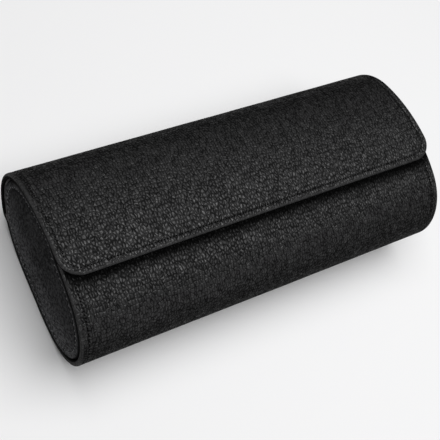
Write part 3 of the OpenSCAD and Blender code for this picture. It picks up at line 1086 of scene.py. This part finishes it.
CUSHION_R = 20.0
CUSHION_EDGE = 9.0
NEAR_GAP, FAR_GAP, SIDE_GAP, SEAT_GAP = 9.7, 11.7, 1.5, 0.4
CUSHION_NEAR = round(WALL_T + NEAR_GAP + CUSHION_R - CASE_W / 2, 3)
CUSHION_FAR = round(CASE_W / 2 - WALL_T - FAR_GAP - CUSHION_R, 3)
CUSHION_MIDDLE = (CUSHION_NEAR + CUSHION_FAR) / 2
CUSHION_HALF = round((ROOM_PITCH - DIVIDER_T) / 2 - SIDE_GAP, 2)
# It stands on the curve of the back, below its near end.
SEAT_R = BACK_R - WALL_T - SEAT_GAP - CUSHION_R
CUSHION_Z = round(AXIS_H + BACK_C - math.sqrt(SEAT_R ** 2 - CUSHION_NEAR ** 2), 3)
# A cushion starts smaller by SWELL and is blown up, with no point moved further than the cap.
SWELL = 2.0
SWELL_CAP = 2.6
CUSHION_PRESSURE = 14.0
CUSHION_VOXEL = 4
PIPING_R = 0.75
PIPING_LEAN = 1.1
PIPING_SIDES = 8
CUSHION_DARK, CUSHION_LIGHT = (0.14, 0.132, 0.135), (0.29, 0.275, 0.28)
cushion_suede = napped(
    "cushion_suede", CUSHION_DARK, CUSHION_LIGHT, 0.8, 0.25, SUEDE_FLECK, SUEDE_SHARES, 0.14
)


def cushion_outline(index, inset):
    """A stadium: two half circles and the straights between them, drawn in by inset."""
    radius = CUSHION_R - inset
    straight, bow = CUSHION_FAR - CUSHION_NEAR, math.pi * CUSHION_R
    along = (index % LOOP) / LOOP * 2 * (straight + bow)
    flip = 1
    if along >= straight + bow:
        along, flip = along - straight - bow, -1
    if along < straight:
        y, z = CUSHION_NEAR + along, radius
    else:
        turn = (along - straight) / CUSHION_R
        y, z = CUSHION_FAR + radius * math.sin(turn), radius * math.cos(turn)
    return CUSHION_MIDDLE + flip * (y - CUSHION_MIDDLE), CUSHION_Z + flip * z


core = CUSHION_HALF - CUSHION_EDGE
middle = (CUSHION_MIDDLE, CUSHION_Z)
for seat, name in ((-1, "left"), (0, "middle"), (1, "right")):
    section = []
    for turn in [math.radians(angle) for angle in range(0, 181, 15)]:
        inset = CUSHION_EDGE * (1 - math.sin(turn)) + SWELL
        out = (core if turn < math.pi / 2 else -core) + (CUSHION_EDGE - SWELL) * math.cos(turn)
        section.append((inset, seat * ROOM_PITCH + out))
    cushion = slab(name + "_cushion", cushion_outline, section, middle, 1, [cushion_suede], crease=80)
    remesh = cushion.modifiers.new("cut", "REMESH")
    remesh.mode = "VOXEL"
    remesh.voxel_size = CUSHION_VOXEL * MM
    apply_modifiers(cushion)
    cushion.data.polygons.foreach_set("use_smooth", [True] * len(cushion.data.polygons))
    inflate(cushion, [], CUSHION_PRESSURE, SWELL_CAP * MM)
    subdivide(cushion)
    skin = BVHTree.FromPolygons(
        [vertex.co for vertex in cushion.data.vertices], [face.vertices for face in cushion.data.polygons]
    )
    for out, end in ((-1, "_left_piping"), (1, "_right_piping")):
        points = []
        for index in range(LOOP):
            y, z = cushion_outline(index, CUSHION_EDGE)
            rim_y, rim_z = cushion_outline(index, 0)
            outward = Vector((0, rim_y - y, rim_z - z)).normalized()
            root = Vector((seat * ROOM_PITCH + out * core, y, z)) * MM
            lean = (outward + Vector((out * PIPING_LEAN, 0, 0))).normalized()
            across = Vector((out, 0, 0)).cross(outward).cross(lean)
            spot = skin.ray_cast(root, lean)[0] / MM
            for side in range(PIPING_SIDES):
                turn = 2 * math.pi * side / PIPING_SIDES
                ring = lean * math.cos(turn) + across * math.sin(turn)
                points.append(spot + ring * PIPING_R)
        faces = tube_faces(0, LOOP, PIPING_SIDES, closed=True)
        piping = new_piece(name + end, points, faces, [cushion_suede], crease=80)
        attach(piping, name + "_cushion")
    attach(cushion, name + "_cushion")
    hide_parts(name + "_cushion_cover", name + "_cushion_foam", name + "_cushion_ends")


# ---- Studio ----
# The case stands on a pale floor that runs into a backdrop of the same tone.
# The light is plain and soft: one wide sheet of it hangs overhead, and a little comes from all round.

floor_finish, shader, place = new_finish("pale_floor", Specular_IOR_Level=0.0, Roughness=0.9)
feed(shader, Base_Color=place.speckle((0.3, 0.3, 0.3)).tint((0.86, 0.86, 0.865), (0.875, 0.875, 0.88)))
BACKDROP = 0.55
ALL_ROUND = 0.08
FLOOR_HALF = 8000
FLOOR_GAP = 0.05


def looked_at(field):
    """1 for what the camera, a gloss or a glass sees, and 0 for what only lights other things."""
    rays = ("Is Camera Ray", "Is Glossy Ray", "Is Transmission Ray")
    eye, gloss, glass = [field.node("ShaderNodeLightPath", {}, {}, ray) for ray in rays]
    return eye + gloss + glass


# Away from the case the floor looks evenly bright.
away = place.node("ShaderNodeVectorMath", {"operation": "LENGTH"}, {0: place}, "Value").ease(0.32, 1.05)
glow = place.node("ShaderNodeEmission", {}, {"Color": (1, 1, 1, 1), "Strength": BACKDROP}, "Emission")
lay_over(looked_at(place) * away, Field(place.tree, shader.outputs["BSDF"]), glow)
corners = [(x * FLOOR_HALF, y * FLOOR_HALF, 0) for x, y in ((-1, -1), (1, -1), (1, 1), (-1, 1))]
floor = new_piece("floor", corners, [(0, 1, 2, 3)], [floor_finish])
floor.location.z = -FLOOR_GAP * MM

light = bpy.data.lights.new("overhead_lamp", "AREA")
light.shape = "RECTANGLE"
light.size = 1.05
light.size_y = 1.15
light.energy = 13.6
lamp = bpy.data.objects.new("overhead_lamp", light)
lamp.location = (0.12, -0.08, 1.0)
lamp_aim = Vector((0.08, -0.06, 0)) - lamp.location
lamp.rotation_euler = lamp_aim.to_track_quat("-Z", "Y").to_euler()
bpy.context.scene.collection.objects.link(lamp)

world = bpy.data.worlds.new("studio")
world.use_nodes = True
sky = Field(world.node_tree)
strength = looked_at(sky) * (BACKDROP - ALL_ROUND) + ALL_ROUND
background = world.node_tree.nodes["Background"]
background.inputs["Color"].default_value = (1, 1, 1, 1)
world.node_tree.links.new(strength.socket, background.inputs["Strength"])
bpy.context.scene.world = world
bpy.context.scene.view_settings.view_transform = "Standard"

camera = bpy.data.objects.new("camera", bpy.data.cameras.new("camera"))
camera.location = (-0.197385, -0.110940, 0.405912)
camera.rotation_euler = [math.radians(angle) for angle in (24.50897, -18.03603, -26.40883)]
camera.data.lens = 72.302
camera.data.sensor_width = 36
camera.data.clip_start = 0.01
bpy.context.scene.collection.objects.link(camera)
bpy.context.scene.camera = camera
